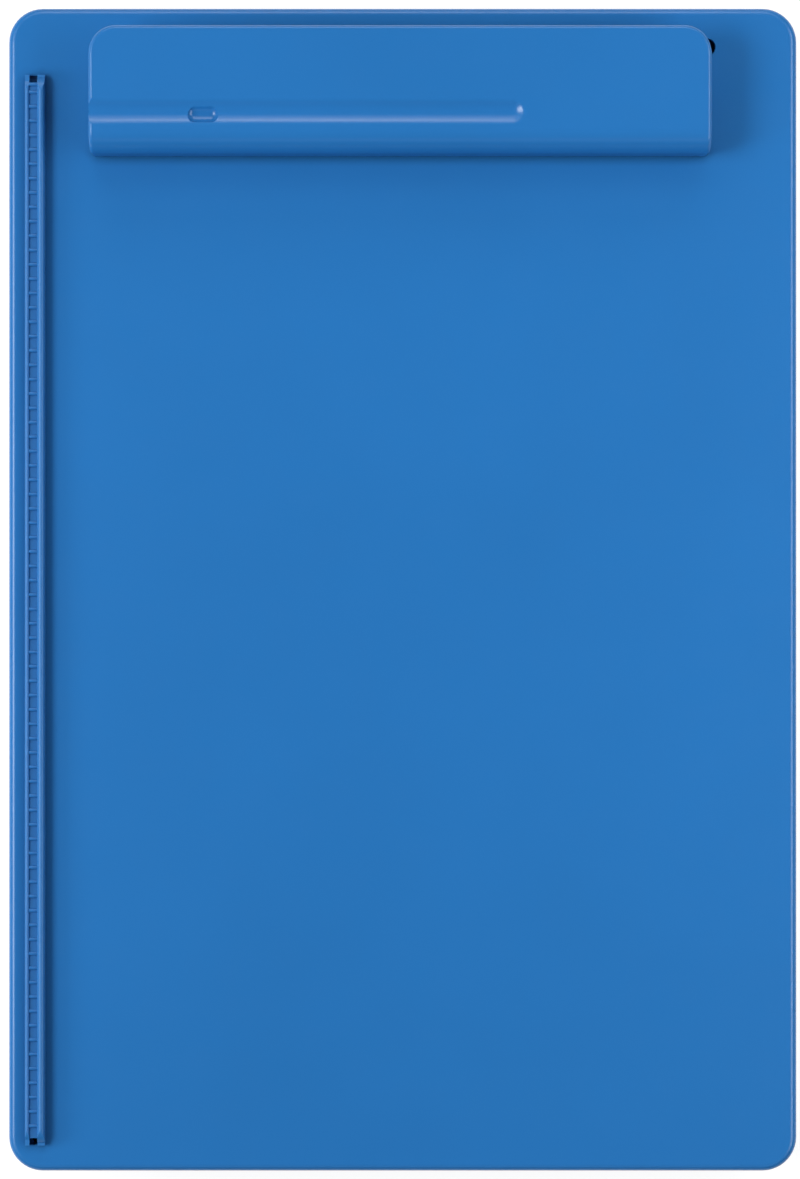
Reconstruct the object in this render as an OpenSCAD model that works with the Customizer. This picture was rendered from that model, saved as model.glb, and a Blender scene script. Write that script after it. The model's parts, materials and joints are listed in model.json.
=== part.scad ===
// Storage clipboard box for A4 sheets.
// A shallow tray carries a hinged lid, and the lid is the writing board.
// A sprung clip with a pen groove grips the sheets, and a ladder rail squares their left edge.
// Seen from above, +Y is the head of the board and +X its right side. The feet stand on Z = 0.

/* [Board] */
// Width of the lid
board_w = 232.8; // [226:0.2:250]
// Length of the lid
board_l = 343.6; // [336:0.2:380]
// Corner radius of the lid
board_r = 10; // [8:0.5:14]
// Thickness of the lid's plate
plate_t = 2.2; // [2:0.1:2.6]
// Rounding of the lid's upper edge
plate_edge_r = 2; // [1:0.1:2]
// Depth of the lid's skirt below the plate
skirt_h = 3; // [2:0.5:5]
// Thickness of the lid's skirt
skirt_t = 1.8; // [1.4:0.1:2.2]
// Thickness of the ribs under the lid
rib_t = 1.2; // [0.8:0.1:1.6]
// Depth of the ribs under the lid
rib_h = 1.8; // [1:0.1:2.4]
// Distance between the cross ribs
rib_pitch = 48; // [40:1:60]

/* [Tray] */
// Height of the lid's top above the table
box_h = 25; // [22:0.5:40]
// Thickness of the tray's walls
wall_t = 2; // [1.6:0.1:2.4]
// Thickness of the tray's floor
floor_t = 2; // [1.8:0.1:2.6]
// Outer corner radius of the tray
tray_r = 8.5; // [6:0.5:10]
// Rounding of the tray's lower edge
tray_edge_r = 3; // [1.5:0.1:3.5]
// Rounding inside, between the floor and the walls
tray_fillet_r = 1; // [0.5:0.1:1.5]
// Gap between the tray and what closes over it
close_gap = 0.4; // [0.3:0.05:0.6]
// Gap between the tray's rim and the lid
rim_gap = 0.2; // [0.1:0.05:0.4]
// Length of the pen bay, from the tray's lower wall to the divider
pen_bay_l = 34; // [26:0.5:38]
// Thickness of the divider
divider_t = 1.6; // [1.2:0.1:2]
// Gap between the divider and the ribs under the lid
divider_gap = 0.8; // [0.5:0.1:2]

/* [Feet] */
// Diameter of a foot
foot_d = 12; // [9:0.5:14]
// Height of a foot below the tray
foot_h = 1.2; // [0.8:0.1:2]
// Depth of a foot's seat in the tray
foot_seat = 0.8; // [0.4:0.1:1]
// Distance from the tray's sides to a foot's centre
foot_inset = 14; // [12:0.5:20]

/* [Lid hinge] */
// Radius of the hinge barrel
barrel_r = 2.1; // [2:0.05:2.2]
// Radius of the hinge pin
pin_r = 1; // [0.8:0.05:1.1]
// Running clearance around every pin
pin_fit = 0.04; // [0.03:0.01:0.08]
// Length of a knuckle on the tray
knuckle_l = 14; // [10:0.5:20]
// Number of knuckles on the tray
knuckle_n = 4; // [2:1:5]
// Gap between neighbouring knuckles
knuckle_gap = 0.4; // [0.3:0.05:0.6]
// Thickness of the wall that stops the pin at its upper end
pin_stop_t = 2; // [1:0.1:4]

/* [Latch] */
// Length of the latch along the box
latch_l = 35; // [28:1:44]
// Thickness of the latch
latch_t = 2; // [1.6:0.1:2.2]
// Radius of the latch's barrel
latch_barrel_r = 1.9; // [1.7:0.05:2]
// Distance from the lid's underside to the latch pin
latch_drop = 2.3; // [2.2:0.1:2.8]
// Height of the latch's lower end above the table
latch_foot_z = 5; // [4:0.5:6]
// Length of a lug that holds the latch pin
lug_l = 3; // [2.5:0.1:4]
// Height of the catch ridge's underside on the tray
catch_z = 9.6; // [9:0.1:11]
// How far the catch ridge stands out
catch_d = 1.2; // [1:0.05:1.3]

/* [Clip] */
// Width of the clip
clip_w = 181.8; // [160:0.2:190]
// Sideways place of the clip's middle
clip_x = -0.8; // [-4:0.1:4]
// Depth of the clip, from its jaw to its rear edge
clip_l = 36.8; // [35:0.2:40]
// Distance from the board's head to the clip's rear edge
clip_inset = 7.2; // [5:0.2:14]
// Height of the clip above the board
clip_h = 16; // [15.5:0.1:18]
// Thickness of the clip's plate
clip_t = 2.2; // [1.8:0.1:2.4]
// Radius of the bend above the jaw
bend_r = 6.6; // [5.5:0.1:7.5]
// Radius of the clip's rear corners
clip_r = 8; // [6:0.5:10]
// Rounding of the clip's upper edge
clip_edge_r = 1.1; // [0.6:0.1:1.4]
// Thickness of the rubber pad in the jaw
pad_t = 0.8; // [0.6:0.1:1.2]
// Gap between the pad and the board
jaw_gap = 0.2; // [0.1:0.05:0.3]

/* [Pen groove] */
// Width of the groove at the clip's surface
groove_w = 8; // [7:0.1:8.6]
// Depth of the groove
groove_d = 1; // [0.8:0.1:1.4]
// Radius of the groove's lips
groove_lip_r = 3; // [1:0.1:3.2]
// Distance from the clip's jaw to the groove's middle
groove_y = 11.6; // [11:0.1:13]
// Length of the groove from the clip's left end
groove_l = 127.6; // [100:0.2:150]
// Wall around the groove, under the clip's plate
groove_wall = 1.6; // [1.2:0.1:2]
// Distance from the clip's left end to the middle of the pen stop
stop_x = 33.4; // [20:0.2:60]
// Distance from the groove's middle to the pen stop's, towards the jaw
stop_y = 0.7; // [0:0.1:1]
// Length of the pen stop's hollow
stop_l = 8.8; // [6:0.2:12]
// Radius of the pen stop's hollow
stop_r = 2.6; // [2:0.1:3]
// Depth of the pen stop below the groove
stop_d = 1; // [0.6:0.1:1.2]

/* [Clip hinge] */
// Distance from the clip's jaw to its axle
axle_y = 19.8; // [19:0.1:21]
// Height of the axle above the board
axle_h = 7; // [6.8:0.1:7.4]
// Radius of the axle
axle_r = 2; // [1.6:0.1:2.1]
// Width of the steel base
base_w = 96; // [84:1:110]
// Depth of the steel base
base_l = 18; // [16:0.5:20]
// Thickness of the steel base
base_t = 1.2; // [1:0.1:1.6]
// Radius of the ears around the axle
ear_r = 4; // [3.6:0.1:4.2]
// Thickness of the clip's own ears
clip_ear_t = 2.4; // [2:0.1:3]
// Sideways gap between the ears
ear_gap = 0.4; // [0.3:0.05:0.6]
// Thickness of the backing plate under the lid
backing_t = 1; // [0.8:0.1:1.4]
// Radius of a rivet's shank
rivet_r = 1.5; // [1.2:0.1:1.8]
// Radius of a rivet's head
rivet_head_r = 2.5; // [2.2:0.1:2.8]
// Thickness of a rivet's head
rivet_head_t = 1; // [0.8:0.1:1.2]

/* [Clip springs] */
// Radius of the spring's wire
wire_r = 0.6; // [0.4:0.05:0.65]
// Radius of the coil, to the wire's middle
coil_r = 3.1; // [2.9:0.1:3.2]
// Full turns in a coil
coil_turns = 6; // [3:1:8]
// Distance from one turn to the next
coil_pitch = 1.45; // [1.4:0.05:1.8]
// Distance from the clip's middle to a coil's middle
coil_x = 28; // [24:1:32]
// Length of the leg under the clip
leg_up_l = 11; // [8:0.5:12]
// Length of the leg on the base
leg_down_l = 8.5; // [7:0.5:9]

/* [Ladder rail] */
// Distance from the board's left side to the rail
rail_x = 5; // [4.5:0.1:6]
// Width of the rail
rail_w = 5.9; // [5.4:0.1:7]
// Distance from the board's head to the rail's upper end
rail_top = 20; // [16:0.5:30]
// Thickness of the rail's low outer wall
rail_low_t = 1.3; // [1:0.1:1.5]
// Height of the rail's low outer wall
rail_low_h = 2.8; // [2.7:0.1:3.4]
// Thickness of the wall that the sheets rest against
rail_high_t = 2.2; // [1.7:0.1:2.4]
// Height of the wall that the sheets rest against
rail_high_h = 4.2; // [3.6:0.1:5]
// Radius of the arc in which each wall runs down to the board at its ends
rail_end_r = 5; // [5:0.1:7]
// Thickness of the rail's floor
rail_floor_t = 2; // [1.6:0.1:2.2]
// Distance from one rung to the next, a sixth of an inch
rung_pitch = 4.2333; // [4.2333:0.0001:6.35]
// Number of rungs
rung_n = 73; // [20:1:73]
// Thickness of a rung
rung_t = 1.2; // [0.8:0.1:1.4]
// Height of a rung above the rail's floor
rung_h = 0.5; // [0.3:0.1:0.7]
// Length of the slot at each end of the rail
slot_l = 2.2; // [2:0.1:3]
// Depth of the pocket in the board under the rail's upper slot
head_pocket_d = 1; // [0.4:0.1:1.2]
// Radius of the pegs that hold the rail
peg_r = 1.1; // [0.8:0.1:1.1]
// Number of pegs
peg_n = 5; // [3:1:7]

/* [Cord hole] */
// Diameter of the hole for a pen's cord
cord_hole_d = 5; // [4:0.1:6]
// Distance from the board's right side to the hole's middle
cord_hole_x = 26.5; // [22:0.1:30]
// Distance from the board's head to the hole's middle
cord_hole_y = 11.5; // [9:0.1:12]

/* [Hidden] */
$fn = 48;

// A cut runs past the solid by this much
over = 1;
// Solids that are fused share this much
sink = 0.2;

// Lid
lid_top = box_h;
lid_under = lid_top - plate_t;
skirt_z = lid_under - skirt_h;
half_w = board_w / 2;
half_l = board_l / 2;
straight_w = board_w - 2 * board_r;
straight_l = board_l - 2 * board_r;

// Lid hinge
axis_x = -half_w + barrel_r;
axis_z = lid_under - rim_gap - barrel_r;
bore_r = pin_r + pin_fit;
pin_end_gap = 0.5;
pin_head = straight_l / 2 - pin_stop_t;
knuckle_step = (straight_l - knuckle_n * (knuckle_l + 2 * knuckle_gap)) / (knuckle_n + 1);
knuckle_pitch = knuckle_step + knuckle_l + 2 * knuckle_gap;

// Tray
tray_z = foot_h;
floor_z = tray_z + floor_t;
rim_z = lid_under - rim_gap;
tray_left = axis_x + barrel_r + close_gap;
tray_right = half_w - skirt_t - close_gap;
tray_half_l = half_l - skirt_t - close_gap;
tray_w = tray_right - tray_left;
tray_x = (tray_left + tray_right) / 2;
foot_fit = 0.2;
divider_y = -tray_half_l + wall_t + pen_bay_l;
divider_top = lid_under - rib_h - divider_gap;

// Latch, between two lugs under the lid's right edge
latch_half_l = latch_l / 2;
lug_y = latch_half_l + knuckle_gap;
pocket_gap = 1;
latch_inset = 0.1;
latch_pin_z = lid_under - latch_drop;
pocket_half_l = lug_y + lug_l + pocket_gap;
grip_d = 0.3;
grip_n = 4;
grip_t = 0.7;
grip_pitch = 1.6;
grip_low = 1;
latch_out_x = half_w - latch_inset - grip_d;
latch_in_x = latch_out_x - latch_t;
latch_pin_x = half_w - latch_inset - latch_barrel_r;
latch_r = 3;
pocket_x = latch_pin_x - latch_barrel_r - close_gap;
boss_x = pocket_x - wall_t;
catch_lip = 1.2;
catch_slope = 3;
catch_inset = 3;
nose_gap = 0.3;
nose_hold = 0.6;
nose_x = pocket_x + catch_d - nose_hold;
nose_z = catch_z - nose_gap;
nose_h = 2.6;
nose_lip = 0.8;

// Clip
clip_left = clip_x - clip_w / 2;
clip_rear = half_l - clip_inset;
jaw_y = clip_rear - clip_l;
clip_top = lid_top + clip_h;
clip_under = clip_top - clip_t;
jaw_z = lid_top + jaw_gap + pad_t;
groove_half = groove_w / 2;
groove_r = (groove_half * groove_half + groove_d * groove_d) / (2 * groove_d) - groove_lip_r;
lip_start = groove_half * groove_r / (groove_r + groove_lip_r);
groove_z = clip_top + groove_r - groove_d;
groove_mid = jaw_y + groove_y;
groove_end = clip_left + groove_l - groove_half;
stop_z = clip_top - groove_d - stop_d + stop_r;
stop_half_run = stop_l / 2 - sqrt(stop_r * stop_r - (stop_r - stop_d) * (stop_r - stop_d));
bulge_d = groove_d + stop_d + groove_wall;
pad_inset = 3;
pad_side_gap = 0.1;
clip_rib_h = 2.4;
clip_rib_t = 1.6;
clip_rib_end = 3;
clip_rib_x = [-78, -64, 0, 64, 78];

// Clip hinge
axle_mid = jaw_y + axle_y;
axle_z = lid_top + axle_h;
clip_ear_x = base_w / 2 + ear_gap;
cap_x = clip_ear_x + clip_ear_t + ear_gap;
cap_t = 1.2;
cap_r = 3.4;
axle_over = 0.8;
axle_end = cap_x + cap_t + axle_over;
rivet_side = 6;
rivet_edge = 0.5;
rivet_x = base_w / 2 - rivet_side;
rivet_y = base_l / 2 - rivet_head_r - rivet_edge;
backing_r = 2;
base_ear_spread = base_l / 2 - ear_r;
clip_ear_spread = 4;

// Clip springs
leg_up_angle = 15;
leg_down_angle = 13;
coil_sides = 8;
coil_steps = 20;
coil_angle = 360 * coil_turns + 180 - leg_up_angle - leg_down_angle;

// Ladder rail
rail_left = -half_w + rail_x;
rail_right = rail_left + rail_w;
rail_head = half_l - rail_top;
rung_run = (rung_n - 1) * rung_pitch;
ladder_head_gap = 2.9;
ladder_foot_gap = 3.6;
rung_top = rail_head - slot_l - ladder_head_gap;
rail_foot = rung_top - rung_run - ladder_foot_gap - slot_l;
rail_l = rail_head - rail_foot;
channel_left = rail_left + rail_low_t;
channel_right = rail_right - rail_high_t;
peg_side = 1.6;
peg_end = 15;
peg_x = rail_right - peg_side;
peg_head_rim = 0.4;
peg_head_r = peg_r + peg_head_rim;
peg_head_t = 0.6;
peg_fit = 0.1;
slot_gap = 0.2;
rim_notch_h = 2;

// Ribs under the lid
ring_gap = 1;
ring_fit = 0.6;
rib_head_gap = 8;
long_rib_x = 72;
short_rib_x = 24;

// ---------- shapes used by more than one piece ----------

// A flat rectangle with round corners
module rounded_rect(w, l, r) {
  square([w, l - 2 * r], center = true);
  square([w - 2 * r, l], center = true);
  for (x = [-1, 1], y = [-1, 1])
    translate([x * (w / 2 - r), y * (l / 2 - r)]) circle(r);
}

// Carries a profile along X: its width runs along +Y and its height along +Z
module along_x(l) {
  rotate([90, 0, 90]) linear_extrude(l, center = true) children();
}

// Carries a profile along Y: its width runs along +X and its height along +Z
module along_y(l) {
  rotate([90, 0, 0]) linear_extrude(l, center = true) children();
}

// Turns a profile a quarter round a vertical corner, from the direction that angle gives
module corner(x, y, angle) {
  translate([x, y, 0]) rotate([0, 0, angle]) rotate_extrude(angle = 90) children();
}

// A rod along X, about its middle
module rod_x(r, l) {
  rotate([0, 90, 0]) cylinder(r = r, h = l, center = true);
}

// A rod along Y, about its middle
module rod_y(r, l) {
  rotate([90, 0, 0]) cylinder(r = r, h = l, center = true);
}

// A plate's edge, from 0 out to r, with its upper outer corner rounded
module edge_profile(r, low, high, round_r) {
  difference() {
    translate([0, low]) square([r, high - low]);
    translate([r - round_r, high - round_r]) difference() {
      square([round_r + over, round_r + over]);
      circle(round_r);
    }
  }
}

// ---------- tray ----------

module tray_profile() {
  difference() {
    union() {
      translate([0, tray_z]) square([tray_r, floor_t]);
      translate([tray_r - wall_t, tray_z]) square([wall_t, rim_z - tray_z]);
      translate([tray_r - wall_t - tray_fillet_r, floor_z - sink]) difference() {
        square([tray_fillet_r + sink, tray_fillet_r + sink]);
        translate([0, tray_fillet_r + sink]) circle(tray_fillet_r);
      }
    }
    translate([tray_r - tray_edge_r, tray_z - over]) difference() {
      square([tray_edge_r + over, tray_edge_r + over]);
      translate([0, tray_edge_r + over]) circle(tray_edge_r);
    }
  }
}

module tray_shell() {
  run_w = tray_w - 2 * tray_r;
  run_l = 2 * (tray_half_l - tray_r);
  corner_y = tray_half_l - tray_r;
  translate([tray_x - run_w / 2, -run_l / 2, tray_z]) cube([run_w, run_l, floor_t]);
  translate([tray_x + run_w / 2, 0, 0]) along_y(run_l) tray_profile();
  translate([tray_x - run_w / 2, 0, 0]) mirror([1, 0, 0]) along_y(run_l) tray_profile();
  translate([tray_x, corner_y, 0]) along_x(run_w) tray_profile();
  translate([tray_x, -corner_y, 0]) mirror([0, 1, 0]) along_x(run_w) tray_profile();
  corner(tray_x + run_w / 2, corner_y, 0) tray_profile();
  corner(tray_x - run_w / 2, corner_y, 90) tray_profile();
  corner(tray_x - run_w / 2, -corner_y, 180) tray_profile();
  corner(tray_x + run_w / 2, -corner_y, 270) tray_profile();
}

// A knuckle and the web that carries it from the tray's wall
module tray_knuckle(y) {
  translate([axis_x, y, axis_z]) rod_y(barrel_r, knuckle_l);
  translate([axis_x, y - knuckle_l / 2, axis_z - barrel_r])
    cube([tray_left - axis_x + sink, knuckle_l, 2 * barrel_r]);
}

// The ridge that the latch's nose snaps under
module catch_ridge() {
  along_y(latch_l - 2 * catch_inset) polygon([
    [pocket_x - sink, catch_z],
    [pocket_x + catch_d, catch_z],
    [pocket_x + catch_d, catch_z + catch_lip],
    [pocket_x - sink, catch_z + catch_slope]
  ]);
}

module foot_places() {
  for (x = [tray_left + foot_inset, tray_right - foot_inset], y = [-1, 1])
    translate([x, y * (tray_half_l - foot_inset), 0]) children();
}

module tray() {
  boss_l = 2 * (pocket_half_l + wall_t);
  color("steelblue") difference() {
    union() {
      difference() {
        union() {
          tray_shell();
          // Wall behind the latch
          translate([boss_x, -boss_l / 2, floor_z - sink])
            cube([tray_right - wall_t - boss_x + sink, boss_l, rim_z - floor_z + sink]);
        }
        // Pocket that the latch hangs in
        translate([pocket_x, -pocket_half_l, tray_z - over])
          cube([tray_right - pocket_x + over, 2 * pocket_half_l, rim_z - tray_z + 2 * over]);
      }
      // Divider between the sheets and the pens
      translate([tray_left + wall_t - sink, divider_y, floor_z - sink])
        cube([tray_w - 2 * wall_t + 2 * sink, divider_t, divider_top - floor_z + sink]);
      for (i = [0:knuckle_n - 1])
        tray_knuckle(-straight_l / 2 + knuckle_step + knuckle_gap + knuckle_l / 2 + i * knuckle_pitch);
      catch_ridge();
    }
    translate([axis_x, 0, axis_z]) rod_y(bore_r, board_l);
    foot_places() translate([0, 0, tray_z - over])
      cylinder(r = foot_d / 2 + foot_fit, h = over + foot_seat);
    // Clearance in the rim under the rail's lower slot
    translate([tray_left - over, rail_foot - slot_gap, rim_z - rim_notch_h])
      cube([wall_t + 2 * over, slot_l + 2 * slot_gap, rim_notch_h + over]);
  }
}

module foot(x, y) {
  color("dimgray") translate([x, y, 0]) cylinder(r = foot_d / 2, h = foot_h + foot_seat);
}

// ---------- lid ----------

module lid_edge() {
  edge_profile(board_r, lid_under, lid_top, plate_edge_r);
}

module skirt_edge() {
  translate([board_r - skirt_t, skirt_z]) square([skirt_t, skirt_h + sink]);
}

// Carries a profile round the lid's outline
module round_the_lid() {
  cx = straight_w / 2;
  cy = straight_l / 2;
  translate([cx, 0, 0]) along_y(straight_l) children();
  translate([-cx, 0, 0]) mirror([1, 0, 0]) along_y(straight_l) children();
  translate([0, cy, 0]) along_x(straight_w) children();
  translate([0, -cy, 0]) mirror([0, 1, 0]) along_x(straight_w) children();
  corner(cx, cy, 0) children();
  corner(cx, -cy, 270) children();
  corner(-cx, cy, 90) children();
  corner(-cx, -cy, 180) children();
}

module lid_plate() {
  translate([-straight_w / 2, -straight_l / 2, lid_under]) cube([straight_w, straight_l, plate_t]);
  round_the_lid() lid_edge();
  // The skirt leaves the hinge side and the latch open
  difference() {
    round_the_lid() skirt_edge();
    translate([-half_w - over, -half_l, skirt_z - over])
      cube([tray_left + half_w + over, board_l, skirt_h + over]);
    translate([half_w - skirt_t - over, -pocket_half_l, skirt_z - over])
      cube([skirt_t + 2 * over, 2 * pocket_half_l, skirt_h + over]);
  }
}

// The lid's own knuckles, hung under its left edge
module lid_knuckles() {
  for (i = [0:knuckle_n])
    translate([axis_x, -straight_l / 2 + knuckle_step / 2 + i * knuckle_pitch, axis_z]) {
      rod_y(barrel_r, knuckle_step);
      translate([-barrel_r, -knuckle_step / 2, 0])
        cube([2 * barrel_r, knuckle_step, lid_under - axis_z + sink]);
    }
}

// Ribs that stiffen the board, inside a ring that centres the lid in the tray
module lid_ribs() {
  ring_left = rail_right + ring_gap;
  ring_right = boss_x - ring_fit;
  ring_w = ring_right - ring_left;
  ring_l = 2 * (tray_half_l - wall_t - ring_fit);
  ring_x = (ring_left + ring_right) / 2;
  ring_r = tray_r - wall_t;
  cross_top = jaw_y - rib_head_gap;
  translate([ring_x, 0, lid_under - rib_h]) linear_extrude(rib_h + sink) {
    difference() {
      rounded_rect(ring_w, ring_l, ring_r);
      rounded_rect(ring_w - 2 * rib_t, ring_l - 2 * rib_t, ring_r - rib_t);
    }
    for (x = [-long_rib_x, long_rib_x])
      translate([x - rib_t / 2, -ring_l / 2]) square([rib_t, ring_l]);
    for (x = [-short_rib_x, short_rib_x])
      translate([x - rib_t / 2, -ring_l / 2]) square([rib_t, ring_l / 2 + cross_top]);
    for (y = [cross_top:-rib_pitch:-ring_l / 2 + rib_pitch / 2])
      translate([-ring_w / 2, y - rib_t]) square([ring_w, rib_t]);
  }
}

// The two lugs that hold the latch pin
module latch_lugs() {
  for (y = [-1, 1])
    translate([0, y * (lug_y + lug_l / 2), 0]) {
      translate([latch_pin_x, 0, latch_pin_z]) rod_y(latch_barrel_r, lug_l);
      translate([latch_pin_x - latch_barrel_r, -lug_l / 2, latch_pin_z])
        cube([2 * latch_barrel_r, lug_l, lid_under - latch_pin_z + sink]);
    }
}

module rivet_places() {
  for (x = [-1, 1], y = [-1, 1])
    translate([clip_x + x * rivet_x, axle_mid + y * rivet_y, 0]) children();
}

module peg_places() {
  peg_step = (rail_l - 2 * peg_end) / (peg_n - 1);
  for (i = [0:peg_n - 1])
    translate([peg_x, rail_foot + peg_end + i * peg_step, 0]) children();
}

// A slot at an end of the rail's channel, from the height low up to the height high
module rail_slot(y, low, high) {
  translate([channel_left, y, low]) cube([channel_right - channel_left, slot_l, high - low]);
}

module lid() {
  color("steelblue") difference() {
    union() {
      lid_plate();
      lid_knuckles();
      lid_ribs();
      latch_lugs();
    }
    // The pin goes in from the foot of the board, up to its stop
    translate([axis_x, pin_head, axis_z]) rotate([90, 0, 0])
      cylinder(r = bore_r, h = pin_head + half_l);
    translate([latch_pin_x, 0, latch_pin_z]) rod_y(bore_r, 2 * (lug_y + lug_l + over));
    rivet_places() translate([0, 0, lid_under - over])
      cylinder(r = rivet_r + pin_fit, h = plate_t + 2 * over);
    peg_places() translate([0, 0, lid_under - over])
      cylinder(r = peg_r + peg_fit, h = plate_t + 2 * over);
    // Way out for dust at the rail's lower end, and a blind pocket at its upper end
    rail_slot(rail_foot, lid_under - over, lid_top + over);
    rail_slot(rail_head - slot_l, lid_top - head_pocket_d, lid_top + over);
    translate([half_w - cord_hole_x, half_l - cord_hole_y, lid_under - over])
      cylinder(r = cord_hole_d / 2, h = plate_t + 2 * over);
  }
}

module hinge_pin() {
  pin_l = pin_head + straight_l / 2 - 2 * pin_end_gap;
  color("silver") translate([axis_x, pin_head - pin_end_gap, axis_z]) rotate([90, 0, 0])
    cylinder(r = pin_r, h = pin_l);
}

// ---------- ladder rail ----------

// A wall with a round top, whose ends run down to the board in an arc
module rail_wall(x, t, h) {
  arc_below = sqrt(rail_end_r * rail_end_r - (rail_end_r - h) * (rail_end_r - h));
  arc_l = rail_l + 2 * (rail_end_r - arc_below);
  arc_h = 2 * rail_end_r + over;
  translate([0, (rail_head + rail_foot) / 2, lid_top]) intersection() {
    along_y(rail_l) {
      translate([x, 0]) square([t, h - t / 2]);
      translate([x + t / 2, h - t / 2]) circle(t / 2);
    }
    translate([x + t / 2, 0, h - arc_h / 2])
      along_x(t + 2 * over) rounded_rect(arc_l, arc_h, rail_end_r);
  }
}

// A low bar with a round top, across the ladder
module rung(y) {
  bar_l = channel_right - channel_left + 2 * sink;
  translate([(channel_left + channel_right) / 2, y, lid_top + rail_floor_t + rung_h - rung_t / 2])
    rod_x(rung_t / 2, bar_l);
}

module rail() {
  color("steelblue") {
    difference() {
      union() {
        rail_wall(rail_left, rail_low_t, rail_low_h);
        rail_wall(channel_right, rail_high_t, rail_high_h);
        translate([rail_left, rail_foot, lid_top]) cube([rail_w, rail_l, rail_floor_t]);
        for (i = [0:rung_n - 1]) rung(rung_top - i * rung_pitch);
        // One more bar closes the ladder off from its upper slot
        rung(rail_head - slot_l - rung_t / 2);
        // Staked pegs through the lid
        peg_places() translate([0, 0, lid_under - peg_head_t]) {
          cylinder(r = peg_r, h = plate_t + peg_head_t + sink);
          cylinder(r = peg_head_r, h = peg_head_t);
        }
      }
      for (y = [rail_foot, rail_head - slot_l])
        rail_slot(y, lid_top - over, lid_top + rail_high_h);
    }
  }
}

// ---------- latch ----------

module latch() {
  color("steelblue") difference() {
    intersection() {
      along_y(latch_l) {
        translate([latch_pin_x, latch_pin_z]) circle(latch_barrel_r);
        translate([latch_in_x, latch_foot_z]) square([latch_t, latch_pin_z - latch_foot_z]);
        polygon([
          [latch_in_x + sink, nose_z], [nose_x, nose_z],
          [nose_x, nose_z - nose_lip], [latch_in_x + sink, nose_z - nose_h]
        ]);
        for (i = [0:grip_n - 1])
          translate([latch_out_x - sink, latch_foot_z + grip_low + i * grip_pitch])
            square([grip_d + sink, grip_t]);
      }
      // Rounds the latch's lower corners
      translate([latch_pin_x, 0, latch_pin_z]) rotate([90, 0, 90])
        linear_extrude(board_w, center = true)
          rounded_rect(latch_l, 2 * (latch_pin_z - latch_foot_z), latch_r);
    }
    translate([latch_pin_x, 0, latch_pin_z]) rod_y(bore_r, latch_l + 2 * over);
  }
}

module latch_pin() {
  color("silver") translate([latch_pin_x, 0, latch_pin_z]) rod_y(pin_r, 2 * (lug_y + lug_l));
}

// ---------- clip ----------

// An ear around the axle that reaches to the height to_z, in the Y-Z plane
module ear_profile(to_z, spread) {
  translate([axle_mid, axle_z]) circle(ear_r);
  polygon([
    [axle_mid - ear_r, axle_z], [axle_mid + ear_r, axle_z],
    [axle_mid + ear_r + spread, to_z], [axle_mid - ear_r - spread, to_z]
  ]);
}

module clip_base() {
  color("silver") difference() {
    union() {
      translate([clip_x - base_w / 2, axle_mid - base_l / 2, lid_top]) cube([base_w, base_l, base_t]);
      for (x = [-1, 1])
        translate([clip_x + x * (base_w - base_t) / 2, 0, 0])
          along_x(base_t) ear_profile(lid_top, base_ear_spread);
    }
    translate([clip_x, axle_mid, axle_z]) rod_x(axle_r + pin_fit, base_w + 2 * over);
    rivet_places() translate([0, 0, lid_top - over])
      cylinder(r = rivet_r + pin_fit, h = base_t + 2 * over);
  }
}

module backing_plate() {
  color("silver") difference() {
    translate([clip_x, axle_mid, lid_under - backing_t])
      linear_extrude(backing_t) rounded_rect(base_w, base_l, backing_r);
    rivet_places() translate([0, 0, lid_under - backing_t - over])
      cylinder(r = rivet_r + pin_fit, h = backing_t + 2 * over);
  }
}

module clip_rivets() {
  tail_z = lid_under - backing_t - rivet_head_t;
  color("lightgray") rivet_places() {
    translate([0, 0, tail_z])
      cylinder(r = rivet_r, h = lid_top + base_t - tail_z + rivet_head_t / 2);
    translate([0, 0, tail_z]) cylinder(r = rivet_head_r, h = rivet_head_t);
    translate([0, 0, lid_top + base_t]) intersection() {
      cylinder(r = rivet_head_r, h = rivet_head_t);
      translate([0, 0, rivet_head_t - 2 * rivet_head_r]) sphere(2 * rivet_head_r);
    }
  }
}

module clip_axle() {
  color("silver") translate([clip_x, axle_mid, axle_z]) rod_x(axle_r, 2 * axle_end);
}

module axle_caps() {
  color("gray") for (x = [-1, 1])
    translate([clip_x + x * (cap_x + cap_t / 2), axle_mid, axle_z]) difference() {
      rod_x(cap_r, cap_t);
      rod_x(axle_r + pin_fit, cap_t + 2 * over);
    }
}

// Middle of the wire, as [x, y, z] from the coil's middle. The legs are straight and leave
// the coil along its tangents, one down to the base and one up under the clip.
function coil_point(a, x) = [x, -coil_r * sin(a), -coil_r * cos(a)];
function coil_tangent(a) = [0, -cos(a), sin(a)];
function coil_x_at(a) = ((a - leg_down_angle) / coil_angle - 0.5) * coil_angle / 360 * coil_pitch;
function spring_path() =
  let (
    first = leg_down_angle,
    last = leg_down_angle + coil_angle,
    steps = ceil(coil_angle / 360 * coil_steps)
  )
  concat(
    [coil_point(first, coil_x_at(first)) - leg_down_l * coil_tangent(first)],
    [for (i = [0:steps]) let (a = first + coil_angle * i / steps) coil_point(a, coil_x_at(a))],
    [coil_point(last, coil_x_at(last)) + leg_up_l * coil_tangent(last)]
  );

function unit(v) = v / norm(v);
// A ring of the wire's surface: one direction lies along X, square to the path as nearly as it can
function ring_at(path, i) =
  let (
    before = path[max(i - 1, 0)],
    after = path[min(i + 1, len(path) - 1)],
    t = unit(after - before),
    u = unit([1, 0, 0] - t[0] * t),
    v = cross(t, u)
  )
  [for (k = [0:coil_sides - 1]) let (a = 360 * k / coil_sides)
    path[i] + wire_r * (cos(a) * u + sin(a) * v)];

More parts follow.
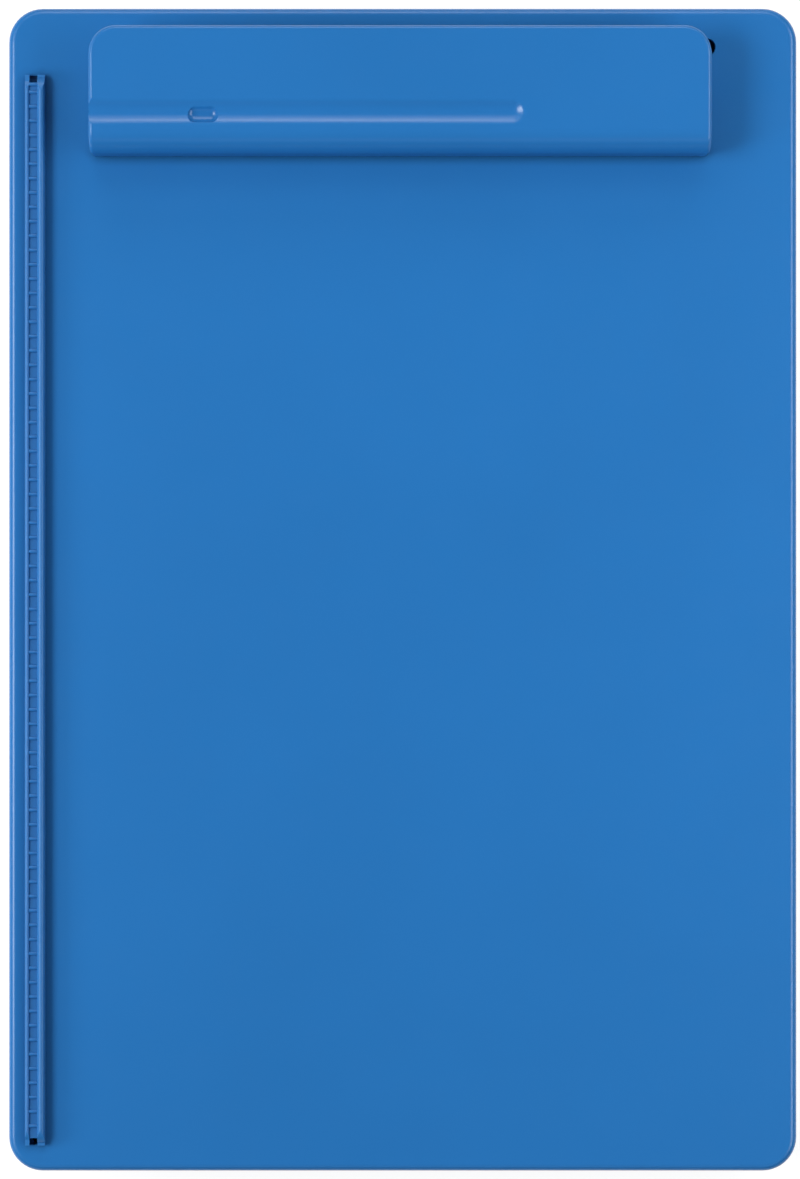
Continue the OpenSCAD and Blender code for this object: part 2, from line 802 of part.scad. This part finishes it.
module spring_wire() {
  path = spring_path();
  rings = len(path);
  polyhedron(
    points = [for (i = [0:rings - 1]) each ring_at(path, i)],
    faces = concat(
      [[for (k = [0:coil_sides - 1]) k]],
      [for (i = [0:rings - 2], k = [0:coil_sides - 1]) let (n = (k + 1) % coil_sides)
        [i * coil_sides + k, (i + 1) * coil_sides + k, (i + 1) * coil_sides + n, i * coil_sides + n]],
      [[for (k = [coil_sides - 1:-1:0]) (rings - 1) * coil_sides + k]]
    )
  );
}

module clip_spring_left() {
  color("silver") translate([clip_x - coil_x, axle_mid, axle_z]) mirror([1, 0, 0]) spring_wire();
}

module clip_spring_right() {
  color("silver") translate([clip_x + coil_x, axle_mid, axle_z]) spring_wire();
}

module clip_edge() {
  edge_profile(clip_r, clip_under, clip_top, clip_edge_r);
}

// The clip's cross-section at the bend: its outer corners are rounded, as its plate's edges are
module clip_section() {
  difference() {
    translate([-clip_w / 2, 0]) square([clip_w, clip_t]);
    for (x = [0, 1]) mirror([x, 0, 0]) translate([clip_w / 2 - clip_edge_r, clip_t - clip_edge_r])
      difference() {
        square([clip_edge_r + over, clip_edge_r + over]);
        circle(clip_edge_r);
      }
  }
}

module clip_plate() {
  flat_y = jaw_y + bend_r;
  flat_l = clip_rear - clip_r - flat_y;
  cx = clip_w / 2 - clip_r;
  translate([clip_left + clip_r, flat_y, clip_under])
    cube([clip_w - 2 * clip_r, flat_l, clip_t]);
  translate([clip_x + cx, flat_y + flat_l / 2, 0]) along_y(flat_l) clip_edge();
  translate([clip_x - cx, flat_y + flat_l / 2, 0]) mirror([1, 0, 0]) along_y(flat_l) clip_edge();
  translate([clip_x, clip_rear - clip_r, 0]) along_x(2 * cx) clip_edge();
  corner(clip_x + cx, clip_rear - clip_r, 0) clip_edge();
  corner(clip_x - cx, clip_rear - clip_r, 90) clip_edge();
}

// The bend and the wall that ends in the jaw
module clip_front() {
  translate([clip_x, jaw_y + bend_r, clip_top - bend_r]) rotate([90, 0, 90]) rotate([0, 0, 90])
    rotate_extrude(angle = 90) translate([bend_r - clip_t, 0]) mirror([1, -1, 0]) clip_section();
  translate([clip_x, jaw_y + clip_t, jaw_z])
    linear_extrude(clip_top - bend_r - jaw_z) mirror([0, 1, 0]) clip_section();
}

// Half of the groove's section, from its middle: a round bowl that ends in a round lip
module half_groove() {
  intersection() {
    translate([0, groove_r - groove_d]) circle(groove_r);
    translate([0, -groove_d]) square([lip_start, groove_d + over]);
  }
  difference() {
    translate([lip_start, -groove_d]) square([groove_half - lip_start, groove_d + over]);
    translate([groove_half, -groove_lip_r]) circle(groove_lip_r);
  }
}

// The groove is open at the clip's left end and round at the other
module groove() {
  run = groove_end - clip_left + over;
  translate([groove_end, groove_mid, clip_top]) {
    translate([-run / 2, 0, 0]) along_x(run) {
      half_groove();
      mirror([1, 0]) half_groove();
    }
    rotate([0, 0, -90]) rotate_extrude(angle = 180) half_groove();
  }
}

// The pen stop is a short hollow with round ends
module pen_stop(r) {
  translate([clip_left + stop_x, groove_mid - stop_y, stop_z]) {
    rod_x(r, 2 * stop_half_run);
    for (x = [-1, 1]) translate([x * stop_half_run, 0, 0]) sphere(r);
  }
}

// The wall that carries the groove and the pen stop, under the plate
module groove_bulge() {
  r = groove_r + groove_wall;
  run = groove_end - clip_left;
  intersection() {
    union() {
      translate([clip_left + run / 2, groove_mid, groove_z]) rod_x(r, run);
      translate([groove_end, groove_mid, groove_z]) sphere(r);
      pen_stop(stop_r + groove_wall);
    }
    translate([clip_left, groove_mid - r, clip_top - bulge_d - over])
      cube([clip_w, 2 * r, bulge_d - clip_t + over + sink]);
  }
}

module clip_lever() {
  color("steelblue") difference() {
    union() {
      clip_plate();
      clip_front();
      groove_bulge();
      for (x = clip_rib_x)
        translate([clip_x + x - clip_rib_t / 2, jaw_y + clip_t - sink, clip_under - clip_rib_h])
          cube([clip_rib_t, clip_l - clip_t - clip_rib_end, clip_rib_h + sink]);
      for (x = [-1, 1])
        translate([clip_x + x * (clip_ear_x + clip_ear_t / 2), 0, 0])
          along_x(clip_ear_t) ear_profile(clip_under + sink, clip_ear_spread);
    }
    groove();
    pen_stop(stop_r);
    translate([clip_x, axle_mid, axle_z]) rod_x(axle_r + pin_fit, 2 * cap_x);
  }
}

module jaw_pad() {
  color("dimgray") translate([clip_x, jaw_y + clip_t / 2, jaw_z - pad_t])
    linear_extrude(pad_t)
    rounded_rect(clip_w - 2 * pad_inset, clip_t - 2 * pad_side_gap, clip_t / 2 - 2 * pad_side_gap);
}

tray();
foot(tray_left + foot_inset, tray_half_l - foot_inset);  // foot_top_left
foot(tray_right - foot_inset, tray_half_l - foot_inset);  // foot_top_right
foot(tray_left + foot_inset, foot_inset - tray_half_l);  // foot_bottom_left
foot(tray_right - foot_inset, foot_inset - tray_half_l);  // foot_bottom_right
lid();
hinge_pin();
rail();
latch();
latch_pin();
clip_base();
backing_plate();
clip_rivets();
clip_axle();
axle_caps();
clip_spring_left();
clip_spring_right();
clip_lever();
jaw_pad();
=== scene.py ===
import json
import math

import bmesh
import bpy
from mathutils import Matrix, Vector

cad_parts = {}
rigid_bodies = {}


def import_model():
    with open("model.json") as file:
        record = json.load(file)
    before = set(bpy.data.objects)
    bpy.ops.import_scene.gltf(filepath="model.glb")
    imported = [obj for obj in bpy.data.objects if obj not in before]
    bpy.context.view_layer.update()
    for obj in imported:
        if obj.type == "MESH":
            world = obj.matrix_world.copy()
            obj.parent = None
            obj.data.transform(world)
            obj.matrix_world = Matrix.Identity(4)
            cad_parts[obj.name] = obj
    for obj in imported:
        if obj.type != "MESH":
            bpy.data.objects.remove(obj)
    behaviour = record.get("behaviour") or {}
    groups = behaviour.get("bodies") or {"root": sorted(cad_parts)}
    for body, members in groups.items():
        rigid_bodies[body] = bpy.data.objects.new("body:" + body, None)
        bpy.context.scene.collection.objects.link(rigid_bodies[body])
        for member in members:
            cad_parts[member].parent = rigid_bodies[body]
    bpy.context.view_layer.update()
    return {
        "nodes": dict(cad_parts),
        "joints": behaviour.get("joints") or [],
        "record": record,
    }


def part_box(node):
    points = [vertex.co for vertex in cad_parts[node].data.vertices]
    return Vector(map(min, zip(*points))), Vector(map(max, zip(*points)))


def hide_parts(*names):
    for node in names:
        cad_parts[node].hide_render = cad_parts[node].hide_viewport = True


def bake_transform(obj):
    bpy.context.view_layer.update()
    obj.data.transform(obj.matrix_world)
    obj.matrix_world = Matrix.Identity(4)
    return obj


for unused in list(bpy.data.objects):
    bpy.data.objects.remove(unused)

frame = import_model()
nodes = frame["nodes"]
joints = {joint["name"]: joint for joint in frame["joints"]}

MM = 0.001

# ---------- colours, as linear values ----------


def srgb(red, green, blue):
    """A colour given as it looks on a screen, from 0 to 255, as linear values."""
    def linear(value):
        value /= 255
        return value / 12.92 if value <= 0.04045 else ((value + 0.055) / 1.055) ** 2.4
    return linear(red), linear(green), linear(blue), 1.0


def grey(level):
    """A grey given as a linear value from 0 to 1."""
    return level, level, level, 1.0


def shade(colour, factor):
    """A colour made darker or lighter."""
    return tuple(channel * factor for channel in colour[:3]) + (1.0,)


BLUE = srgb(37, 116, 187)
STEEL = srgb(176, 178, 181)
WIRE = srgb(150, 152, 156)
RUBBER = srgb(34, 34, 36)
WHITE = grey(1.0)

# ---------- materials ----------

# Tones are the darkest and lightest share of a colour. Sizes are those of a noise's blobs.
# No roughness range crosses 0.274, where a denoised render shows specks on flat faces.
PLASTIC_TONES = (0.975, 1.025)
PLASTIC_TONE_SIZE = 60 * MM
PLASTIC_GLOSS_SPREAD = 0.02
PLASTIC_GLOSS_SIZE = 8 * MM
PLASTIC_GRAIN_SIZE = 0.35 * MM
PLASTIC_GRAIN_DEPTH = 0.004 * MM
PLASTIC_IOR = 1.49

# Painted shade in crevices: how far a surface looks round for others near it, and how open it still is
# where the shade is darkest.
PAINTED_SHADE_REACH = 3 * MM
PAINTED_SHADE_OPENNESS = 0.3
PAINTED_SHADE_SAMPLES = 8

STEEL_TONES = (0.9, 1.05)
STEEL_TONE_SIZE = 3 * MM
STEEL_GLOSS_SPREAD = 0.04
STEEL_GLOSS_SIZE = 1.5 * MM
STEEL_GRAIN_SIZE = 0.25 * MM
STEEL_GRAIN_DEPTH = 0.003 * MM

RUBBER_TONES = (0.9, 1.1)
RUBBER_TONE_SIZE = 2 * MM
RUBBER_GLOSS_SPREAD = 0.06
RUBBER_GLOSS_SIZE = 1 * MM
RUBBER_GRAIN_SIZE = 0.3 * MM
RUBBER_GRAIN_DEPTH = 0.02 * MM

# The part of its range that a noise seldom leaves.
NOISE_RANGE = (0.25, 0.75)


def new_material(name):
    """A material with an empty node tree, and its tree, shader and object coordinates."""
    material = bpy.data.materials.new(name)
    material.use_nodes = True
    tree = material.node_tree
    tree.nodes.clear()
    output = tree.nodes.new("ShaderNodeOutputMaterial")
    shader = tree.nodes.new("ShaderNodeBsdfPrincipled")
    tree.links.new(shader.outputs["BSDF"], output.inputs["Surface"])
    place = tree.nodes.new("ShaderNodeTexCoord").outputs["Object"]
    return material, tree, shader, place


def noise(tree, place, size, detail):
    """A noise whose blobs are about size metres across, from 0 to 1."""
    node = tree.nodes.new("ShaderNodeTexNoise")
    node.inputs["Scale"].default_value = 1 / size
    node.inputs["Detail"].default_value = detail
    tree.links.new(place, node.inputs["Vector"])
    return node.outputs["Fac"]


def spread(tree, value, low, high):
    """A noise, spread from low to high."""
    node = tree.nodes.new("ShaderNodeMapRange")
    node.inputs["From Min"].default_value = NOISE_RANGE[0]
    node.inputs["From Max"].default_value = NOISE_RANGE[1]
    node.inputs["To Min"].default_value = low
    node.inputs["To Max"].default_value = high
    tree.links.new(value, node.inputs["Value"])
    return node.outputs["Result"]


def vary_tone(tree, place, colour, tones, size, detail):
    """A colour that drifts between two tones of itself."""
    node = tree.nodes.new("ShaderNodeMix")
    node.data_type = "RGBA"
    node.inputs["A"].default_value = shade(colour, tones[0])
    node.inputs["B"].default_value = shade(colour, tones[1])
    drift = spread(tree, noise(tree, place, size, detail), 0, 1)
    tree.links.new(drift, node.inputs["Factor"])
    return node.outputs["Result"]


def vary_gloss(tree, place, shader, roughness, stray, size, detail):
    """Gives the shader a roughness that strays from its middle value."""
    gloss = spread(tree, noise(tree, place, size, detail), roughness - stray, roughness + stray)
    tree.links.new(gloss, shader.inputs["Roughness"])


def add_grain(tree, place, shader, size, depth, detail):
    """Gives the shader a grain, depth metres deep."""
    node = tree.nodes.new("ShaderNodeBump")
    node.inputs["Distance"].default_value = depth
    node.inputs["Strength"].default_value = 1.0
    tree.links.new(noise(tree, place, size, detail), node.inputs["Height"])
    tree.links.new(node.outputs["Normal"], shader.inputs["Normal"])


def painted_crevice_shade(tree, colour, darkest):
    """A colour with painted shade, darker in narrow corners and grooves, down to a share of itself."""
    openness = tree.nodes.new("ShaderNodeAmbientOcclusion")
    openness.samples = PAINTED_SHADE_SAMPLES
    openness.inputs["Distance"].default_value = PAINTED_SHADE_REACH
    light = tree.nodes.new("ShaderNodeMapRange")
    light.inputs["From Min"].default_value = PAINTED_SHADE_OPENNESS
    light.inputs["To Min"].default_value = darkest
    tree.links.new(openness.outputs["AO"], light.inputs["Value"])
    product = tree.nodes.new("ShaderNodeMix")
    product.data_type = "RGBA"
    product.blend_type = "MULTIPLY"
    product.inputs["Factor"].default_value = 1.0
    tree.links.new(colour, product.inputs["A"])
    tree.links.new(light.outputs["Result"], product.inputs["B"])
    return product.outputs["Result"]


def moulded_plastic(name, colour, roughness, crevice_painted_shade):
    """Satin moulded plastic with a fine eroded grain, and painted shade that takes its crevices down to
    a share of its colour.
    """
    material, tree, shader, place = new_material(name)
    toned = vary_tone(tree, place, colour, PLASTIC_TONES, PLASTIC_TONE_SIZE, detail=2)
    # The base colour gets painted shade, darker in its crevices.
    tree.links.new(painted_crevice_shade(tree, toned, crevice_painted_shade), shader.inputs["Base Color"])
    vary_gloss(tree, place, shader, roughness, PLASTIC_GLOSS_SPREAD, PLASTIC_GLOSS_SIZE, detail=4)
    add_grain(tree, place, shader, PLASTIC_GRAIN_SIZE, PLASTIC_GRAIN_DEPTH, detail=3)
    shader.inputs["IOR"].default_value = PLASTIC_IOR
    return material


def plated_steel(name, colour, roughness):
    """Zinc-plated steel: metal with a cloudy gloss and a fine grain."""
    material, tree, shader, place = new_material(name)
    toned = vary_tone(tree, place, colour, STEEL_TONES, STEEL_TONE_SIZE, detail=3)
    tree.links.new(toned, shader.inputs["Base Color"])
    shader.inputs["Metallic"].default_value = 1.0
    vary_gloss(tree, place, shader, roughness, STEEL_GLOSS_SPREAD, STEEL_GLOSS_SIZE, detail=3)
    add_grain(tree, place, shader, STEEL_GRAIN_SIZE, STEEL_GRAIN_DEPTH, detail=2)
    return material


def matt_rubber(name, colour, roughness):
    """Matt rubber with a fine grain."""
    material, tree, shader, place = new_material(name)
    toned = vary_tone(tree, place, colour, RUBBER_TONES, RUBBER_TONE_SIZE, detail=3)
    tree.links.new(toned, shader.inputs["Base Color"])
    vary_gloss(tree, place, shader, roughness, RUBBER_GLOSS_SPREAD, RUBBER_GLOSS_SIZE, detail=3)
    add_grain(tree, place, shader, RUBBER_GRAIN_SIZE, RUBBER_GRAIN_DEPTH, detail=3)
    return material


# The crevice value is the share of the colour left where the painted shade is darkest.
blue_plastic = moulded_plastic("blue_plastic", BLUE, roughness=0.25, crevice_painted_shade=0.5)
matt_plastic = moulded_plastic("matt_plastic", BLUE, roughness=0.38, crevice_painted_shade=0.8)
steel = plated_steel("steel", STEEL, roughness=0.33)
spring_steel = plated_steel("spring_steel", WIRE, roughness=0.22)
rubber = matt_rubber("rubber", RUBBER, roughness=0.68)

FINISHES = {"blue_plastic": blue_plastic, "steel": steel, "spring_steel": spring_steel, "rubber": rubber}

for part in frame["record"]["subparts"]:
    for material_slot in nodes[part["node"]].material_slots:
        material_slot.material = FINISHES[part["material_slot"]]

# The rail is less glossy than the board, and the shade painted into its crevices is lighter.
for material_slot in nodes["rail"].material_slots:
    material_slot.material = matt_plastic

# ---------- clip springs ----------

WIRE_R = 0.6 * MM
WIRE_SIDES = 14
COIL_R = 3.1 * MM
COIL_TURNS = 6
COIL_PITCH = 1.45 * MM
TURN_STEPS = 40
LEG_DOWN, LEG_UP = 8.5 * MM, 11 * MM
LEG_DOWN_ANGLE, LEG_UP_ANGLE = math.radians(13), math.radians(15)

# How far the coil turns from one leg to the other, and its length along the axle.
COIL_ANGLE = math.tau * COIL_TURNS + math.pi - LEG_DOWN_ANGLE - LEG_UP_ANGLE
COIL_LENGTH = COIL_ANGLE / math.tau * COIL_PITCH
CLIP_AXLE = Vector(joints["clip_hinge"]["pos_m"])

# The rims of the wire's cut ends are rounded by this radius, with a ring at each lean.
END_ROUND = 0.5 * WIRE_R
END_LEANS = [math.radians(lean) for lean in (70, 45, 20, 0)]


def coil_point(angle):
    """A point of the coil about its own middle. It runs along X."""
    along = ((angle - LEG_DOWN_ANGLE) / COIL_ANGLE - 0.5) * COIL_LENGTH
    return Vector((along, -COIL_R * math.sin(angle), -COIL_R * math.cos(angle)))


def coil_tangent(angle):
    """The coil's direction in the plane across its axis."""
    return Vector((0, -math.cos(angle), math.sin(angle)))


def spring_path():
    """The middle of the wire: the leg down to the base, the coil, and the leg up under the clip."""
    first, last = LEG_DOWN_ANGLE, LEG_DOWN_ANGLE + COIL_ANGLE
    steps = math.ceil(COIL_ANGLE / math.tau * TURN_STEPS)
    coil = [coil_point(first + COIL_ANGLE * step / steps) for step in range(steps + 1)]
    foot = coil[0] - LEG_DOWN * coil_tangent(first)
    head = coil[-1] + LEG_UP * coil_tangent(last)
    return [foot, *coil, head]


def end_rings(point, inwards, spokes):
    """The rings of a cut end, from its flat face inwards over the rounded rim."""
    rings = []
    for lean in END_LEANS:
        radius = WIRE_R - END_ROUND * (1 - math.cos(lean))
        depth = END_ROUND * (1 - math.sin(lean))
        rings.append([point + depth * inwards + radius * spoke for spoke in spokes])
    return rings


def wire_rings(path):
    """The rings of the wire's surface along a path, each a list of points."""
    turns = [math.tau * step / WIRE_SIDES for step in range(WIRE_SIDES)]
    last = len(path) - 1
    rings = []
    for index, point in enumerate(path):
        along = (path[min(index + 1, last)] - path[max(index - 1, 0)]).normalized()
        side = (Vector((1, 0, 0)) - along.x * along).normalized()
        other = along.cross(side)
        spokes = [math.cos(turn) * side + math.sin(turn) * other for turn in turns]
        if index == 0:
            rings.extend(end_rings(point, along, spokes))
        elif index == last:
            rings.extend(reversed(end_rings(point, -along, spokes)))
        else:
            rings.append([point + WIRE_R * spoke for spoke in spokes])
    return rings


def make_spring(name, hand):
    """A torsion spring of round wire, mirrored along X where hand is -1.

    It replaces its CAD node.
    """
    middle = (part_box(name)[0].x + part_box(name)[1].x) / 2
    mesh = bmesh.new()
    placed = []
    for ring in wire_rings(spring_path()):
        points = [(middle + hand * spot.x, CLIP_AXLE.y + spot.y, CLIP_AXLE.z + spot.z) for spot in ring]
        placed.append([mesh.verts.new(point) for point in points])
    for here, there in zip(placed, placed[1:]):
        for side in range(WIRE_SIDES):
            after = (side + 1) % WIRE_SIDES
            mesh.faces.new((here[side], there[side], there[after], here[after]))
    mesh.faces.new(placed[0])
    mesh.faces.new(reversed(placed[-1]))
    bmesh.ops.recalc_face_normals(mesh, faces=mesh.faces)
    for face in mesh.faces:
        face.smooth = True
    data = bpy.data.meshes.new(name + "_wire")
    mesh.to_mesh(data)
    mesh.free()
    data.materials.append(spring_steel)
    spring = bpy.data.objects.new(name + "_wire", data)
    bpy.context.scene.collection.objects.link(spring)
    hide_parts(name)
    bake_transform(spring)


make_spring("clip_spring_left", -1)
make_spring("clip_spring_right", 1)

# ---------- floor and background ----------

FLOOR_SIZE = 40.0
FLOOR_DROP = 0.2 * MM  # so that the floor's face and the feet's don't share a plane
FLOOR_GREY = 0.8  # the floor as it lights the object
SEEN_GREY = 0.3  # the floor as the camera and the gloss see it, with the object's shadow
SEEN_GLOW = 0.82  # the even glow added to that, which brings it to white
WORLD_LIGHT = 0.07  # the world as it lights the object
SEEN_WORLD = 1.0  # the world as the camera sees it, which is white


def make_floor():
    """A plain pale floor. Seen by the camera or in a gloss it is white, with the object's shadow."""
    mesh = bpy.data.meshes.new("floor")
    half = FLOOR_SIZE / 2
    corners = [(-half, -half, 0), (half, -half, 0), (half, half, 0), (-half, half, 0)]
    mesh.from_pydata(corners, [], [(0, 1, 2, 3)])
    floor = bpy.data.objects.new("floor", mesh)
    bpy.context.scene.collection.objects.link(floor)
    floor.location.z = -FLOOR_DROP
    material = bpy.data.materials.new("floor")
    material.use_nodes = True
    tree = material.node_tree
    tree.nodes.clear()
    output = tree.nodes.new("ShaderNodeOutputMaterial")
    path = tree.nodes.new("ShaderNodeLightPath")
    plain = tree.nodes.new("ShaderNodeBsdfDiffuse")
    plain.inputs["Color"].default_value = grey(FLOOR_GREY)
    pale = tree.nodes.new("ShaderNodeBsdfDiffuse")
    pale.inputs["Color"].default_value = grey(SEEN_GREY)
    glow = tree.nodes.new("ShaderNodeEmission")
    glow.inputs["Strength"].default_value = SEEN_GLOW
    seen = tree.nodes.new("ShaderNodeAddShader")
    tree.links.new(pale.outputs[0], seen.inputs[0])
    tree.links.new(glow.outputs[0], seen.inputs[1])
    mix = tree.nodes.new("ShaderNodeMixShader")
    direct = tree.nodes.new("ShaderNodeMath")
    direct.operation = "MAXIMUM"
    tree.links.new(path.outputs["Is Camera Ray"], direct.inputs[0])
    tree.links.new(path.outputs["Is Glossy Ray"], direct.inputs[1])
    tree.links.new(direct.outputs[0], mix.inputs["Fac"])
    tree.links.new(plain.outputs[0], mix.inputs[1])
    tree.links.new(seen.outputs[0], mix.inputs[2])
    tree.links.new(mix.outputs[0], output.inputs["Surface"])
    material.cycles.emission_sampling = "NONE"
    mesh.materials.append(material)


def make_world():
    """An even light from all round, and white where the camera looks past the floor."""
    world = bpy.data.worlds.new("studio")
    bpy.context.scene.world = world
    world.use_nodes = True
    tree = world.node_tree
    tree.nodes.clear()
    output = tree.nodes.new("ShaderNodeOutputWorld")
    path = tree.nodes.new("ShaderNodeLightPath")
    even = tree.nodes.new("ShaderNodeBackground")
    even.inputs["Color"].default_value = WHITE
    even.inputs["Strength"].default_value = WORLD_LIGHT
    white = tree.nodes.new("ShaderNodeBackground")
    white.inputs["Color"].default_value = WHITE
    white.inputs["Strength"].default_value = SEEN_WORLD
    mix = tree.nodes.new("ShaderNodeMixShader")
    tree.links.new(path.outputs["Is Camera Ray"], mix.inputs["Fac"])
    tree.links.new(even.outputs[0], mix.inputs[1])
    tree.links.new(white.outputs[0], mix.inputs[2])
    tree.links.new(mix.outputs[0], output.inputs["Surface"])


make_floor()
make_world()

# ---------- lamps: name, azimuth, elevation, distance, width, height and watts ----------

# A light tent: panels at the left, the right and the head.
PANELS = [
    ("high_left", 180, 50, 1.8, 0.8, 0.6, 14.0),
    ("near_left", 180, 50, 0.7, 0.9, 0.2, 0.5),
    ("side_left", 180, 34, 0.7, 0.9, 0.2, 0.5),
    ("near_right", 0, 45, 0.5, 0.6, 0.2, 1.27),
    ("high_head", 90, 45, 0.9, 0.9, 0.25, 1.0),
]
# Low fills light the colour alone, so that no low view shows their glare on the board.
FILLS = [
    ("spot_left", 188, 22, 0.7, 0.2, 0.15, 1.35),
    ("low_head", 90, 25, 0.9, 0.9, 0.25, 1.6),
]
# Gleams show in the gloss alone, mostly along the rounded edges, and add no light to the colour.
GLEAMS = [
    ("head_gleam", 90, 31, 1.8, 0.8, 0.35, 4.2),
    ("right_gleam", 0, 45, 0.7, 0.9, 0.2, 0.8),
    ("foot_gleam", 270, 45, 0.9, 0.9, 0.25, 0.25),
]


def softbox(name, azimuth, elevation, distance, width, height, power):
    """A soft lamp aimed at the middle of the board. Azimuth 0 is towards +X and 90 towards +Y."""
    data = bpy.data.lights.new(name, "AREA")
    data.shape = "RECTANGLE"
    data.size = width
    data.size_y = height
    data.energy = power
    lamp = bpy.data.objects.new(name, data)
    lamp.visible_camera = False
    bpy.context.scene.collection.objects.link(lamp)
    turn, rise = math.radians(azimuth), math.radians(elevation)
    away = Vector((math.cos(turn) * math.cos(rise), math.sin(turn) * math.cos(rise), math.sin(rise)))
    lamp.location = away * distance
    lamp.rotation_euler = away.to_track_quat("Z", "Y").to_euler()
    return lamp


for panel in PANELS:
    softbox(*panel)
for fill in FILLS:
    softbox(*fill).visible_glossy = False
for gleam in GLEAMS:
    softbox(*gleam).visible_diffuse = False

# ---------- camera ----------

BOARD_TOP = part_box("lid")[1].z
VIEW_DISTANCE = 1.2
VIEW_HEIGHT = 348.2 * MM
VIEW_CENTRE = (-0.81 * MM, 0.06 * MM)
SENSOR = 36.0
NEAR_LIMIT = 0.01


def make_camera():
    """Looks straight down on the writing face, with the head of the board at the top."""
    data = bpy.data.cameras.new("camera")
    data.sensor_width = SENSOR
    data.lens = SENSOR * VIEW_DISTANCE / VIEW_HEIGHT
    data.clip_start = NEAR_LIMIT
    camera = bpy.data.objects.new("camera", data)
    bpy.context.scene.collection.objects.link(camera)
    camera.location = (*VIEW_CENTRE, BOARD_TOP + VIEW_DISTANCE)
    bpy.context.scene.camera = camera


make_camera()
bpy.context.scene.view_settings.view_transform = "Standard"
